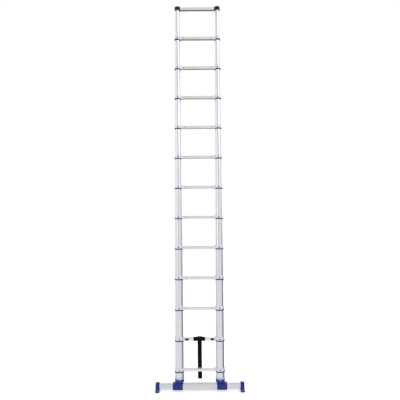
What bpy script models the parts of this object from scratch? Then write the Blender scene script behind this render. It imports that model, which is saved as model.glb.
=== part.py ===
"""Telescopic ladder with thirteen rungs, drawn fully extended and standing on its stabiliser bar.

Metres. +Z is up, the front faces -Y, and the origin is on the floor midway between the feet.
Sections are numbered from the floor. Sections 1 and 2 are fixed in the base, and each of
sections 3 to 13 slides 256 mm down into the one below it, until the collars nearly meet.
"""

import math

import bmesh
import bpy

# Ladder
SECTION_COUNT = 13
FIXED_SECTIONS = 2
RUNG_SPACING = 0.298
FIRST_RUNG_Z = 0.192
STILE_X = 0.199
GAP = 0.0003

# Stile tubes: each section is one step thinner than the one that holds it
TUBE_SIDES = 16
TUBE_RADIUS = 0.042
TUBE_RADIUS_STEP = 0.0017
TUBE_WALL = 0.0013
TUBE_HELD = 0.060

# Collars: pressed on the top end of each tube, measured from the underside of the rung
COLLAR_BOTTOM = -0.0045
COLLAR_TOP = 0.035
COLLAR_PROUD = 0.004
LIP_PROUD = 0.0065
LIP_HEIGHT = 0.0095

# Rung, and the boss and spigot that carry each end of it
RUNG_DEPTH = 0.040
RUNG_HEIGHT = 0.0254
RUNG_WALL = 0.0018
RUNG_CORNER = 0.005
BOSS_REACH = 0.006
BOSS_DEPTH = 0.045
BOSS_TOP = 0.029
SPIGOT_REACH = 0.014
SPIGOT_DEPTH = 0.032
SPIGOT_HEIGHT = 0.0178

# Caps on the last section
CAP_RADIUS = 0.027
CAP_BOTTOM = -0.0005
CAP_TOP = 0.0355
CAP_ROOF = 0.0065
CAP_BOSS_REACH = 0.0008

# Release buttons, lock pins and springs in rung 2
LATCH_SECTION = 2
BUTTON_X = 0.1235
BUTTON_LENGTH = 0.038
BUTTON_HEIGHT = 0.0215
BUTTON_THICK = 0.0042
SLIDER_LENGTH = 0.012
SLIDER_HEIGHT = 0.013
NECK_HEIGHT = 0.007
BUTTON_TRAVEL = 0.012
PIN_RADIUS = 0.004
PIN_INNER_X = 0.105
PIN_TIP_GAP = 0.0004
SPRING_SEAT_X = 0.090
SPRING_SEAT_THICK = 0.002
SPRING_RADIUS = 0.0056
SPRING_WIRE = 0.0005
SPRING_TURNS = 5

# Strap and its cuff, round the middle of rung 2
CUFF_X = -0.0035
CUFF_WIDTH = 0.114
CUFF_THICK = 0.003
STRAP_WIDTH = 0.042
STRAP_THICK = 0.0024
STRAP_STACK = 0.0060
STRAP_END_Z = 0.1065

# Stabiliser
BAR_Z = 0.0455
BAR_HEIGHT = 0.054
BAR_DEPTH = 0.033
BAR_WALL = 0.002
BAR_END_X = 0.4277
CROSSBAR_HEIGHT = 0.061
CROSSBAR_DEPTH = 0.040
CROSSBAR_WALL = 0.003
BRACKET_INNER_X = 0.1673
BRACKET_OUTER_X = 0.2652
BRACKET_BOTTOM = 0.0165
BRACKET_TOP = 0.078
BRACKET_DEPTH = 0.056
SOCKET_WALL = 0.0038
SOCKET_FLOOR = 0.094
SOCKET_TOP = 0.134
BOLT_RADIUS = 0.004
BOLT_HEAD_RADIUS = 0.0068
BOLT_HEAD_THICK = 0.0053
BOLT_TIP_Y = -0.0225

# Feet
FOOT_INNER_X = 0.3955
FOOT_OUTER_X = 0.4335
FOOT_TOP = 0.080
FOOT_WAIST_Z = 0.025
FOOT_WAIST_DEPTH = 0.048
FOOT_TOP_DEPTH = 0.044
SOLE_DEPTH = 0.100
SOLE_THICK = 0.013
SOLE_RIB_WIDTH = 0.012
SOLE_RIB_HEIGHT = 0.0025

SIDES = {"left": -1, "right": 1}


# Materials


def make_material(name, colour, roughness, metallic=0.0):
    material = bpy.data.materials.new(name)
    material.use_nodes = True
    shader = material.node_tree.nodes["Principled BSDF"]
    shader.inputs["Base Color"].default_value = (*colour, 1.0)
    shader.inputs["Roughness"].default_value = roughness
    shader.inputs["Metallic"].default_value = metallic
    return material


def make_materials():
    return {
        "tube_aluminium": make_material("tube_aluminium", (0.80, 0.81, 0.83), 0.32, 1.0),
        "rung_aluminium": make_material("rung_aluminium", (0.77, 0.76, 0.76), 0.42, 1.0),
        "blue_plastic": make_material("blue_plastic", (0.03, 0.06, 0.36), 0.40),
        "navy_plastic": make_material("navy_plastic", (0.012, 0.010, 0.045), 0.35),
        "black_plastic": make_material("black_plastic", (0.010, 0.010, 0.014), 0.35),
        "black_webbing": make_material("black_webbing", (0.012, 0.012, 0.014), 0.85),
        "dark_rubber": make_material("dark_rubber", (0.020, 0.020, 0.045), 0.80),
        "steel": make_material("steel", (0.62, 0.62, 0.63), 0.30, 1.0),
    }


# Shapes


def add_object(name, bm, material=None, parent=None, location=(0, 0, 0)):
    """Turn a bmesh into an object, with its faces pointing out."""
    bmesh.ops.recalc_face_normals(bm, faces=bm.faces)
    mesh = bpy.data.meshes.new(name)
    bm.to_mesh(mesh)
    bm.free()
    obj = bpy.data.objects.new(name, mesh)
    bpy.context.scene.collection.objects.link(obj)
    obj.parent = parent
    obj.location = location
    if material:
        mesh.materials.append(material)
    return obj


def add_empty(name, location, parent=None):
    empty = bpy.data.objects.new(name, None)
    empty.empty_display_size = 0.05
    bpy.context.scene.collection.objects.link(empty)
    empty.parent = parent
    empty.location = location
    return empty


def shade_round(obj):
    obj.data.shade_smooth()
    obj.data.set_sharp_from_angle(angle=math.radians(35))


def turned(profile, sides=TUBE_SIDES, axis="Z"):
    """A solid of revolution: profile lists (radius, height), from one closed end to the other.

    A flat side of the polygon, and not a corner, faces along each of the cross axes.
    """
    bm = bmesh.new()
    rings = []
    for radius, height in profile:
        ring = []
        for i in range(sides):
            angle = 2 * math.pi * (i + 0.5) / sides
            across, up = radius * math.cos(angle), radius * math.sin(angle)
            point = (height, across, up) if axis == "X" else (across, up, height)
            point = (across, height, up) if axis == "Y" else point
            ring.append(bm.verts.new(point))
        rings.append(ring)
    for low, high in zip(rings, rings[1:]):
        for i in range(sides):
            j = (i + 1) % sides
            bm.faces.new((low[i], low[j], high[j], high[i]))
    bm.faces.new(rings[0])
    bm.faces.new(rings[-1])
    return bm


def placed(outline, axis, at):
    """Points of a flat outline standing across an axis: X takes (y, z), Y (x, z) and Z (x, y)."""
    if axis == "X":
        return [(at, u, v) for u, v in outline]
    if axis == "Y":
        return [(u, at, v) for u, v in outline]
    return [(u, v, at) for u, v in outline]


def prism(outline, axis, start, end):
    bm = bmesh.new()
    low = [bm.verts.new(p) for p in placed(outline, axis, start)]
    high = [bm.verts.new(p) for p in placed(outline, axis, end)]
    count = len(outline)
    for i in range(count):
        j = (i + 1) % count
        bm.faces.new((low[i], low[j], high[j], high[i]))
    bm.faces.new(low)
    bm.faces.new(high)
    return bm


def tube_prism(outer, inner, axis, start, end):
    """A prism with a hole right through it; both outlines have the same number of points."""
    bm = bmesh.new()
    rings = []
    for outline, at in ((outer, start), (outer, end), (inner, end), (inner, start)):
        rings.append([bm.verts.new(p) for p in placed(outline, axis, at)])
    count = len(outer)
    for ring, following in zip(rings, rings[1:] + rings[:1]):
        for i in range(count):
            j = (i + 1) % count
            bm.faces.new((ring[i], ring[j], following[j], following[i]))
    return bm


def rectangle(u0, v0, u1, v1):
    return [(u0, v0), (u1, v0), (u1, v1), (u0, v1)]


def rounded(centre, width, height, radius, steps=2):
    """A rectangle with round corners, each corner an arc of the given number of steps."""
    points = []
    for quarter in range(4):
        along_u = 1 if quarter in (0, 3) else -1
        along_v = 1 if quarter in (0, 1) else -1
        corner_u = centre[0] + along_u * (width / 2 - radius)
        corner_v = centre[1] + along_v * (height / 2 - radius)
        for step in range(steps + 1):
            angle = math.pi / 2 * (quarter + step / steps)
            points.append((corner_u + radius * math.cos(angle), corner_v + radius * math.sin(angle)))
    return points


def box(low, high):
    return prism(rectangle(low[0], low[1], high[0], high[1]), "Z", low[2], high[2])


# Boolean helpers


def combine(target, bm, operation, name):
    """Unite a shape with the target, or cut it away, with a Boolean and a hidden helper."""
    helper = add_object(f"{target.name}_{name}", bm, None, target.parent, target.location)
    helper.hide_render = True
    helper.hide_set(True)
    helper.display_type = "WIRE"
    modifier = target.modifiers.new(name, "BOOLEAN")
    modifier.operation = operation
    modifier.solver = "EXACT"
    modifier.object = helper


def unite(target, bm, name):
    combine(target, bm, "UNION", name)


def cut(target, bm, name):
    combine(target, bm, "DIFFERENCE", name)


# Sizes that follow from the driving ones


def rung_z(section):
    return FIRST_RUNG_Z + (section - 1) * RUNG_SPACING


def tube_radius(section):
    return TUBE_RADIUS - (section - 1) * TUBE_RADIUS_STEP


def carrier_radius(section):
    """Radius of whatever carries the rung's end: a collar, or a cap on the last section."""
    return CAP_RADIUS if section == SECTION_COUNT else tube_radius(section) + COLLAR_PROUD


def tube_bottom(section):
    """Lower end of a tube, measured from the underside of its own rung."""
    if section <= FIXED_SECTIONS:
        return SOCKET_FLOOR + GAP - rung_z(section)
    return COLLAR_TOP - RUNG_SPACING - TUBE_HELD


def boss_face(section):
    """Distance from a tube's axis to the face that the rung's end butts against."""
    reach = CAP_BOSS_REACH if section == SECTION_COUNT else BOSS_REACH
    return carrier_radius(section) + reach


def rung_end_x(section):
    return STILE_X - boss_face(section) - GAP


# Sections


def add_rung_boss(carrier, section, side):
    """The boss that the rung's end butts against, and the spigot that goes inside it."""
    boss_x = boss_face(section)
    boss_y = BOSS_DEPTH / 2
    spigot_y = SPIGOT_DEPTH / 2
    middle = RUNG_HEIGHT / 2
    outline = [
        (0.0, -boss_y),
        (boss_x, -boss_y),
        (boss_x, boss_y),
        (0.0, boss_y),
    ]
    bottom = CAP_BOTTOM if section == SECTION_COUNT else COLLAR_BOTTOM
    boss = prism([(-side * u, v) for u, v in outline], "Z", bottom + GAP, BOSS_TOP)
    spigot = prism(
        rectangle(0.0, -spigot_y, -side * (boss_x + SPIGOT_REACH), spigot_y),
        "Z",
        middle - SPIGOT_HEIGHT / 2,
        middle + SPIGOT_HEIGHT / 2,
    )
    unite(carrier, boss, "boss")
    unite(carrier, spigot, "spigot")


def add_stile(section, side_name, parent, looks):
    """One tube with the collar pressed on its top end, or a plain tube on the last section."""
    side = SIDES[side_name]
    radius = tube_radius(section)
    bottom = tube_bottom(section)
    last = section == SECTION_COUNT
    if last:
        top = CAP_TOP - CAP_ROOF - GAP
        profile = [(radius, bottom), (radius, top)]
    else:
        top = COLLAR_TOP
        lip_top = COLLAR_BOTTOM + LIP_HEIGHT
        body = radius + COLLAR_PROUD
        profile = [
            (radius, bottom),
            (radius, COLLAR_BOTTOM),
            (radius + LIP_PROUD, COLLAR_BOTTOM),
            (radius + LIP_PROUD, lip_top - 0.0015),
            (body, lip_top),
            (body, top - 0.003),
            (body - 0.002, top),
        ]
    stile = add_object(
        f"{side_name}_stile_{section:02d}",
        turned(profile),
        looks["tube_aluminium"],
        parent,
        (side * STILE_X, 0, 0),
    )
    if not last:
        add_rung_boss(stile, section, side)
    bore = radius - TUBE_WALL
    cut(stile, turned([(bore, bottom - 0.01), (bore, top + 0.01)]), "bore")
    if section == LATCH_SECTION:
        hole = turned([(PIN_RADIUS + GAP, 0.0), (PIN_RADIUS + GAP, -side * 0.08)], 12, "X")
        bmesh.ops.translate(hole, verts=hole.verts, vec=(0, 0, RUNG_HEIGHT / 2))
        cut(stile, hole, "pin_hole")
    shade_round(stile)


def add_cap(side_name, parent, looks):
    """The cap that closes the last tube and carries the last rung."""
    side = SIDES[side_name]
    profile = [
        (CAP_RADIUS, CAP_BOTTOM),
        (CAP_RADIUS, CAP_TOP - 0.008),
        (CAP_RADIUS - 0.0035, CAP_TOP - 0.002),
        (CAP_RADIUS - 0.009, CAP_TOP),
    ]
    cap = add_object(
        f"{side_name}_top_cap", turned(profile), looks["navy_plastic"], parent, (side * STILE_X, 0, 0)
    )
    add_rung_boss(cap, SECTION_COUNT, side)
    bore = tube_radius(SECTION_COUNT) + GAP
    cut(cap, turned([(bore, CAP_BOTTOM - 0.01), (bore, CAP_TOP - CAP_ROOF)]), "tube_bore")
    shade_round(cap)


def rung_outline(grow):
    """Cross-section of a rung, offset outwards by the given distance."""
    return rounded(
        (0.0, RUNG_HEIGHT / 2),
        RUNG_DEPTH + 2 * grow,
        RUNG_HEIGHT + 2 * grow,
        RUNG_CORNER + grow,
    )


def add_rung(section, parent, looks):
    end = rung_end_x(section)
    rung = add_object(
        f"rung_{section:02d}",
        tube_prism(rung_outline(0.0), rung_outline(-RUNG_WALL), "X", -end, end),
        looks["rung_aluminium"],
        parent,
    )
    if section == LATCH_SECTION:
        fit_rung_for_latches(rung)
    shade_round(rung)


def fit_rung_for_latches(rung):
    """Slots for the two sliders, and a web across the hollow for each spring to push on."""
    middle = RUNG_HEIGHT / 2
    slot_outer = BUTTON_X + SLIDER_LENGTH / 2 + GAP
    slot_inner = BUTTON_X - SLIDER_LENGTH / 2 - BUTTON_TRAVEL - GAP
    slot_half = NECK_HEIGHT / 2 + GAP
    web_y = RUNG_DEPTH / 2 - RUNG_WALL / 2
    web_half = RUNG_HEIGHT / 2 - RUNG_WALL / 2
    for side_name, side in SIDES.items():
        web_x = sorted((side * (SPRING_SEAT_X - SPRING_SEAT_THICK), side * SPRING_SEAT_X))
        web = box((web_x[0], -web_y + 0.004, middle - web_half), (web_x[1], web_y - 0.004, middle + web_half))
        unite(rung, web, f"{side_name}_web")
        slot_x = sorted((side * slot_inner, side * slot_outer))
        slot = box(
            (slot_x[0], -RUNG_DEPTH / 2 - 0.005, middle - slot_half),
            (slot_x[1], -RUNG_DEPTH / 2 + 0.005, middle + slot_half),
        )
        cut(rung, slot, f"{side_name}_slot")


# Latches


def add_latch(side_name, base, looks):
    """Button with its slider, lock pin and return spring, on the pin's axis."""
    side = SIDES[side_name]
    pivot = add_empty(
        f"{side_name}_latch", (side * BUTTON_X, 0, rung_z(LATCH_SECTION) + RUNG_HEIGHT / 2), base
    )
    add_button(side_name, pivot, looks)
    add_lock_pin(side_name, pivot, looks)
    add_pin_spring(side_name, base, looks)


def add_button(side_name, pivot, looks):
    face_y = -RUNG_DEPTH / 2 - GAP
    half = SLIDER_LENGTH / 2
    outline = rounded((0.0, 0.0), BUTTON_LENGTH, BUTTON_HEIGHT, BUTTON_HEIGHT / 2 - 0.0005, 4)
    button = add_object(
        f"{side_name}_release_button",
        prism(outline, "Y", face_y - BUTTON_THICK, face_y),
        looks["black_plastic"],
        pivot,
    )
    neck = box((-half, face_y - 0.001, -NECK_HEIGHT / 2), (half, -0.010, NECK_HEIGHT / 2))
    inner_face = -RUNG_DEPTH / 2 + RUNG_WALL + GAP
    slider = box((-half, inner_face, -SLIDER_HEIGHT / 2), (half, 0.0065, SLIDER_HEIGHT / 2))
    unite(button, neck, "neck")
    unite(button, slider, "slider")
    bore = PIN_RADIUS + GAP
    cut(button, turned([(bore, -0.02), (bore, 0.02)], 12, "X"), "pin_bore")
    shade_round(button)


def add_lock_pin(side_name, pivot, looks):
    side = SIDES[side_name]
    tip_x = STILE_X - tube_radius(LATCH_SECTION + 1) - PIN_TIP_GAP
    inner = side * (PIN_INNER_X - BUTTON_X)
    tip = side * (tip_x - BUTTON_X)
    profile = [(PIN_RADIUS, inner), (PIN_RADIUS, tip - side * 0.001), (PIN_RADIUS - 0.001, tip)]
    pin = add_object(f"{side_name}_lock_pin", turned(profile, 12, "X"), looks["steel"], pivot)
    shade_round(pin)


def add_pin_spring(side_name, base, looks):
    """An open coil round the pin, between the web in the rung and the slider."""
    side = SIDES[side_name]
    start = SPRING_SEAT_X + SPRING_WIRE + GAP
    end = BUTTON_X - SLIDER_LENGTH / 2 - SPRING_WIRE - GAP
    steps_per_turn = 10
    total = SPRING_TURNS * steps_per_turn
    bm = bmesh.new()
    wire_sides = 6
    rings = []
    for step in range(total + 1):
        turn = 2 * math.pi * step / steps_per_turn
        along = side * (start + (end - start) * step / total)
        ring = []
        for i in range(wire_sides):
            angle = 2 * math.pi * i / wire_sides
            radius = SPRING_RADIUS + SPRING_WIRE * math.cos(angle)
            x = along + SPRING_WIRE * math.sin(angle)
            ring.append(bm.verts.new((x, radius * math.cos(turn), radius * math.sin(turn))))
        rings.append(ring)
    for ring, following in zip(rings, rings[1:]):
        for i in range(wire_sides):
            j = (i + 1) % wire_sides
            bm.faces.new((ring[i], ring[j], following[j], following[i]))
    bm.faces.new(rings[0])
    bm.faces.new(rings[-1])
    spring = add_object(
        f"{side_name}_pin_spring",
        bm,
        looks["steel"],
        base,
        (0, 0, rung_z(LATCH_SECTION) + RUNG_HEIGHT / 2),
    )
    shade_round(spring)


# Strap


def add_cuff(base, looks):
    left = CUFF_X - CUFF_WIDTH / 2
    inner = rung_outline(GAP)
    outer = rung_outline(GAP + CUFF_THICK)
    cuff = add_object(
        "strap_cuff",
        tube_prism(outer, inner, "X", left, left + CUFF_WIDTH),
        looks["black_webbing"],
        base,
        (0, 0, rung_z(LATCH_SECTION)),
    )
    shade_round(cuff)


def add_strap(base, looks):
    """The loop round the cuff, stacked higher on top where its end is folded over, and its tail."""
    inner_grow = 2 * GAP + CUFF_THICK
    inner = rung_outline(inner_grow)
    outer_low = -inner_grow - STRAP_THICK
    outer_high = RUNG_HEIGHT + inner_grow + STRAP_STACK
    half_depth = RUNG_DEPTH / 2 + inner_grow + STRAP_THICK
    outer = rounded(
        (0.0, (outer_low + outer_high) / 2), 2 * half_depth, outer_high - outer_low, RUNG_CORNER + inner_grow
    )
    half = STRAP_WIDTH / 2
    base_z = rung_z(LATCH_SECTION)
    strap = add_object(
        "strap", tube_prism(outer, inner, "X", -half, half), looks["black_webbing"], base, (0, 0, base_z)
    )
    tail = box(
        (-half + 0.0002, half_depth - STRAP_THICK + 0.0002, STRAP_END_Z - base_z),
        (half - 0.0002, half_depth - 0.0002, RUNG_HEIGHT / 2),
    )
    unite(strap, tail, "tail")
    shade_round(strap)


# Stabiliser


def add_bars(base, looks):
    """The bar that runs through both brackets into the feet, and the crossbar round its middle."""
    outer = rounded((0.0, BAR_Z), BAR_DEPTH, BAR_HEIGHT, 0.004)
    inner = rounded((0.0, BAR_Z), BAR_DEPTH - 2 * BAR_WALL, BAR_HEIGHT - 2 * BAR_WALL, 0.002)
    bar = add_object(
        "stabiliser_bar",
        tube_prism(outer, inner, "X", -BAR_END_X, BAR_END_X),
        looks["rung_aluminium"],
        base,
    )
    for side_name in SIDES:
        cut(bar, bolt_hole(side_name, -BAR_DEPTH), f"{side_name}_bolt_hole")
    shade_round(bar)
    outer = rounded((0.0, BAR_Z), CROSSBAR_DEPTH, CROSSBAR_HEIGHT, 0.005)
    inner = rounded(
        (0.0, BAR_Z), CROSSBAR_DEPTH - 2 * CROSSBAR_WALL, CROSSBAR_HEIGHT - 2 * CROSSBAR_WALL, 0.002
    )
    end = BRACKET_INNER_X - GAP
    crossbar = add_object(
        "stabiliser_crossbar", tube_prism(outer, inner, "X", -end, end), looks["rung_aluminium"], base
    )
    shade_round(crossbar)


def bolt_x(side_name):
    return SIDES[side_name] * (BRACKET_INNER_X + BRACKET_OUTER_X) / 2


def bolt_hole(side_name, tip_y):
    """A cutter for a bolt hole, from behind the bracket to the given depth."""
    bm = turned([(BOLT_RADIUS + GAP, tip_y), (BOLT_RADIUS + GAP, BRACKET_DEPTH)], 12, "Y")
    bmesh.ops.translate(bm, verts=bm.verts, vec=(bolt_x(side_name), 0, BAR_Z))
    return bm


def add_bracket(side_name, base, looks):
    """A saddle astride the bar, with a round socket on top for the lower ends of the tubes."""
    side = SIDES[side_name]
    middle_x = side * (BRACKET_INNER_X + BRACKET_OUTER_X) / 2
    width = BRACKET_OUTER_X - BRACKET_INNER_X
    outline = rounded(
        (middle_x, (BRACKET_BOTTOM + BRACKET_TOP) / 2), width, BRACKET_TOP - BRACKET_BOTTOM, 0.004
    )
    bracket = add_object(
        f"{side_name}_bracket",
        prism(outline, "Y", -BRACKET_DEPTH / 2, BRACKET_DEPTH / 2),
        looks["blue_plastic"],
        base,
    )
    bore = TUBE_RADIUS + GAP
    outside = bore + SOCKET_WALL
    socket = turned(
        [
            (BRACKET_DEPTH / 2 - 0.002, BRACKET_TOP - 0.004),
            (outside, SOCKET_FLOOR + 0.003),
            (outside, SOCKET_TOP - 0.0015),
            (outside - 0.0015, SOCKET_TOP),
        ]
    )
    bmesh.ops.translate(socket, verts=socket.verts, vec=(side * STILE_X, 0, 0))
    unite(bracket, socket, "socket")
    well = turned([(bore, SOCKET_FLOOR), (bore, SOCKET_TOP + 0.01)])
    bmesh.ops.translate(well, verts=well.verts, vec=(side * STILE_X, 0, 0))
    cut(bracket, well, "well")
    channel_y = BAR_DEPTH / 2 + GAP
    channel_top = BAR_Z + BAR_HEIGHT / 2 + GAP
    channel = prism(
        rectangle(-channel_y, 0.0, channel_y, channel_top), "X", middle_x - width, middle_x + width
    )
    cut(bracket, channel, "channel")
    cut(bracket, bolt_hole(side_name, BOLT_TIP_Y - GAP), "bolt_hole")
    shade_round(bracket)


def add_bracket_bolt(side_name, base, looks):
    """Hexagon-head bolt, put in from behind through the bracket and the bar."""
    seat = BRACKET_DEPTH / 2 + GAP
    bolt = add_object(
        f"{side_name}_bracket_bolt",
        turned([(BOLT_RADIUS, BOLT_TIP_Y), (BOLT_RADIUS, seat + 0.001)], 12, "Y"),
        looks["steel"],
        base,
        (bolt_x(side_name), 0, BAR_Z),
    )
    head = turned([(BOLT_HEAD_RADIUS, seat), (BOLT_HEAD_RADIUS, seat + BOLT_HEAD_THICK)], 6, "Y")
    unite(bolt, head, "head")
    shade_round(bolt)


# Feet


def add_foot(side_name, base, looks):
    """A cap over the end of the bar, spreading to the front and the back at the floor."""
    side = SIDES[side_name]
    waist = FOOT_WAIST_DEPTH / 2
    top = FOOT_TOP_DEPTH / 2
    toe = SOLE_DEPTH / 2
    front = [
        (-toe, SOLE_THICK),
        (-toe, SOLE_THICK + 0.0015),
        (-waist, FOOT_WAIST_Z),
        (-top, FOOT_TOP - 0.006),
        (-top + 0.005, FOOT_TOP),
    ]
    outline = front + [(-y, z) for y, z in reversed(front)]
    foot = add_object(
        f"{side_name}_foot",
        prism(outline, "X", side * FOOT_INNER_X, side * FOOT_OUTER_X),
        looks["blue_plastic"],
        base,
    )
    pocket_y = BAR_DEPTH / 2 + GAP
    pocket_z = BAR_HEIGHT / 2 + GAP
    pocket = prism(
        rectangle(-pocket_y, BAR_Z - pocket_z, pocket_y, BAR_Z + pocket_z),
        "X",
        side * (FOOT_INNER_X - 0.01),
        side * (BAR_END_X + GAP),
    )
    cut(foot, pocket, "pocket")
    cut(foot, sole_rib(side, GAP), "groove")


def sole_rib(side, grow):
    """The rib on a sole, or with some growth the groove that it fits."""
    middle_x = side * (FOOT_INNER_X + FOOT_OUTER_X) / 2
    half_x = SOLE_RIB_WIDTH / 2 + grow
    half_y = SOLE_DEPTH / 2 - 0.012 + grow
    return box(
        (middle_x - half_x, -half_y, SOLE_THICK - 0.002),
        (middle_x + half_x, half_y, SOLE_THICK - GAP + SOLE_RIB_HEIGHT + grow),
    )


def add_sole(side_name, base, looks):
    side = SIDES[side_name]
    middle_x = side * (FOOT_INNER_X + FOOT_OUTER_X) / 2
    width = FOOT_OUTER_X - FOOT_INNER_X
    sole = add_object(
        f"{side_name}_foot_sole",
        prism(rounded((middle_x, 0.0), width, SOLE_DEPTH, 0.003), "Z", 0.0, SOLE_THICK - GAP),
        looks["dark_rubber"],
        base,
    )
    unite(sole, sole_rib(side, 0.0), "rib")


# The whole ladder


def build_section(section, parent, looks):
    for side_name in SIDES:
        add_stile(section, side_name, parent, looks)
    add_rung(section, parent, looks)
    if section == SECTION_COUNT:
        for side_name in SIDES:
            add_cap(side_name, parent, looks)


def build_base(looks):
    base = add_empty("base", (0, 0, 0))
    add_bars(base, looks)
    for side_name in SIDES:
        add_bracket(side_name, base, looks)
        add_bracket_bolt(side_name, base, looks)
        add_foot(side_name, base, looks)
        add_sole(side_name, base, looks)
        add_latch(side_name, base, looks)
    add_cuff(base, looks)
    add_strap(base, looks)
    return base


def main():
    for obj in list(bpy.data.objects):
        bpy.data.objects.remove(obj, do_unlink=True)
    looks = make_materials()
    base = build_base(looks)
    parent = base
    for section in range(1, SECTION_COUNT + 1):
        if section <= FIXED_SECTIONS:
            frame = add_empty(f"section_{section}", (0, 0, rung_z(section)), base)
        else:
            frame = add_empty(f"section_{section}", (0, 0, RUNG_SPACING), parent)
        build_section(section, frame, looks)
        parent = frame


main()
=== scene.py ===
"""The looks of the telescopic ladder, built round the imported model.

Metres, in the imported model's frame: +Z is up, the front faces -Y, and the origin is on the floor
midway between the feet. Sections are numbered from the floor. Each one is a pair of tubes with a
collar, a ring and a plug on each, and a rung between them. What comes in a left and a right copy is
built for the right side and mirrored.
"""

import math

import bmesh
import bpy
from mathutils import Matrix, Vector


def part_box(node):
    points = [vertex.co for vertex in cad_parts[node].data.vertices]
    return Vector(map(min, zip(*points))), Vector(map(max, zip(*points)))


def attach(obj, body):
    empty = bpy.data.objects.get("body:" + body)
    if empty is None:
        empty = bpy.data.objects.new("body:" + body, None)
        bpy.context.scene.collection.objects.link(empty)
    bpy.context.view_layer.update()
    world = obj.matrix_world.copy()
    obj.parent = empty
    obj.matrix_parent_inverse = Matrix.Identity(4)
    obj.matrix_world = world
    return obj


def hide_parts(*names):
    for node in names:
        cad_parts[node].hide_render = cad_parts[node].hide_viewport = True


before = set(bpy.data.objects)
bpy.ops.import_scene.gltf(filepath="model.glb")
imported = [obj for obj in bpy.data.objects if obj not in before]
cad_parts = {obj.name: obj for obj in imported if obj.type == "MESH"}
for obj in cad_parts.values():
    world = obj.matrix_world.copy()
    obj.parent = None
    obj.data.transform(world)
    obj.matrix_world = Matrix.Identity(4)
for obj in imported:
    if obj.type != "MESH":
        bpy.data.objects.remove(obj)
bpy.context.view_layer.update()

SIDES = {"left": -1, "right": 1}
LAST = 13
FIXED = 2
LATCHED = 2
ROUND = 72
CLEAR = 0.0001
FIT = 0.0003
SHARP_ANGLE = math.radians(32)

# Stiles. Heights are measured from the underside of the section's own rung.
CAD_FLAT = math.cos(math.pi / 16)
TUBE_WALL = 0.0013
TUBE_TOP = 0.0338
TUBE_EDGE = 0.0004
BEAD_SECTIONS = range(2, 8)
BEAD_DROP = 0.099
BEAD_DROP_STEP = 0.0116
BEAD_DEPTH = 0.0006
BEAD_HALF = 0.0016
COLLAR_TOP = 0.035
COLLAR_PROUD = 0.004
COLLAR_CROWN = 0.0024
COLLAR_WALL = 0.0012
COLLAR_GROOVE_Z = 0.0295
COLLAR_GROOVE = 0.0004
WIPER = 0.0014
RING_BOTTOM = -0.0045
RING_HEIGHT = 0.0095
RING_PROUD = 0.0065
RING_CORNERS = (0.0002, 0.0016, 0.0012, 0.0002)
PLUG_RADIUS = 0.0066
PLUG_Z = 0.0175

# Boss that carries the rung's end, and the cup at the front of it
CUP_REACH = 0.0050
BOSS_DEPTH = 0.0455
BOSS_LOW = -0.0030
BOSS_TOP = 0.029
BOSS_CORNER = 0.0055
BOSS_EDGE = 0.0011
BOSS_ROOT = 0.004
CUP_GAP = 0.00015

# Rung
RUNG_DEPTH = 0.040
RUNG_HEIGHT = 0.0254
RUNG_WALL = 0.0018
RUNG_CORNER = 0.005
RUNG_EDGE = 0.0003
TREAD_RIDGES = 9
TREAD_HALF = 0.0142
TREAD_GROOVE = 0.0007
RIVET_INSET = 0.027
RIVET_RADIUS = 0.0042

# Cap on the last section
CAP_PROUD = 0.0008
CAP_CUP = 0.0006
CAP_BOTTOM = -0.0005
CAP_TOP = 0.0355
CAP_ROOF = 0.0065
CAP_CROWN = 0.0052

# Latches
LATCH_TRAVEL = 0.012
SLOT_END = 0.0063
SLOT_HEIGHT = 0.0076
BUTTON_CROWN = 0.0014
GRIP_PITCH = 0.0036

# Strap and cuff
CUFF_GAP = 0.0003
CUFF_THICK = 0.003
CUFF_AROUND = 96
CUFF_CHANNELS = (-0.5 + 0.075, -0.5 + 0.27, 0.5 - 0.27, 0.5 - 0.075)
WEBBING = 0.0013
STRAP_WIDTH = 0.042
THREAD_RADIUS = 0.00035
STITCH_PITCH = 0.0032
STITCH_SHARE = 0.66

# Stabiliser
RIM_Z = 0.1212
RIM_CROWN = 0.0052
SOCKET_SCREW_RADIUS = 0.0036
SOCKET_SCREW_Z = 0.1120
SOCKET_WALL = 0.0038
SOCKET_LIP = 0.0012
SOCKET_NECK = 0.0262
SOCKET_FLOOR = 0.094
BLOCK_TOP = 0.078
BLOCK_HALF_DEPTH = 0.028
PANEL_DEPTH = 0.0014
GUSSETS = (-0.026, 0.0, 0.026)
GUSSET_HALF = 0.0022
GUSSET_LOW = 0.046
GUSSET_HIGH = 0.1
BAR_WALL = 0.002
BAR_CORNER = 0.0035
BAR_EDGE = 0.0005
CROSSBAR_WALL = 0.003
CROSSBAR_CORNER = 0.0045
BOLT_SEAT = 0.0283
BOLT_SHANK = 0.0039

# Feet
INSTEP_Z = 0.0215
FOOT_EDGE = 0.0016
FOOT_PANEL_Z = 0.0505
TREAD_CUTS = 11

# Camera and light
LENS = 37.62
EYE = (0.014, -4.141, 1.744)
PITCH = math.radians(1.68)
ROLL = math.radians(0.44)
WORLD_LIGHT = 1.08
ZENITH_SHADE = 0.68
FLOOR_GLOW = 0.38
# Azimuth from the front towards +X, where a patch is full and where it has faded, both in degrees
# from its middle; the height of the direction where it starts and is full; and its brightness.
WORLD_PATCHES = (
    (-10, 5, 27, -0.22, -0.06, 0.62),
    (-62, 22, 70, -0.12, 0.02, 0.87),
    (-62, 22, 70, 0.20, 0.32, 1.15),
    (122, 25, 70, 0.06, -0.14, 0.24),
    (-146, 28, 54, 0.05, -0.20, 0.72),
    (180, 20, 60, -0.37, -0.46, 0.05),
    (45, 10, 35, 0.05, 0.25, 1.10),
)


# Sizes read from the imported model


def tube_radius(section):
    low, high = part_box(f"right_stile_{section:02d}")
    proud = 0.0 if section == LAST else RING_PROUD
    return (high.y - low.y) / 2 / CAD_FLAT - proud


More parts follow.
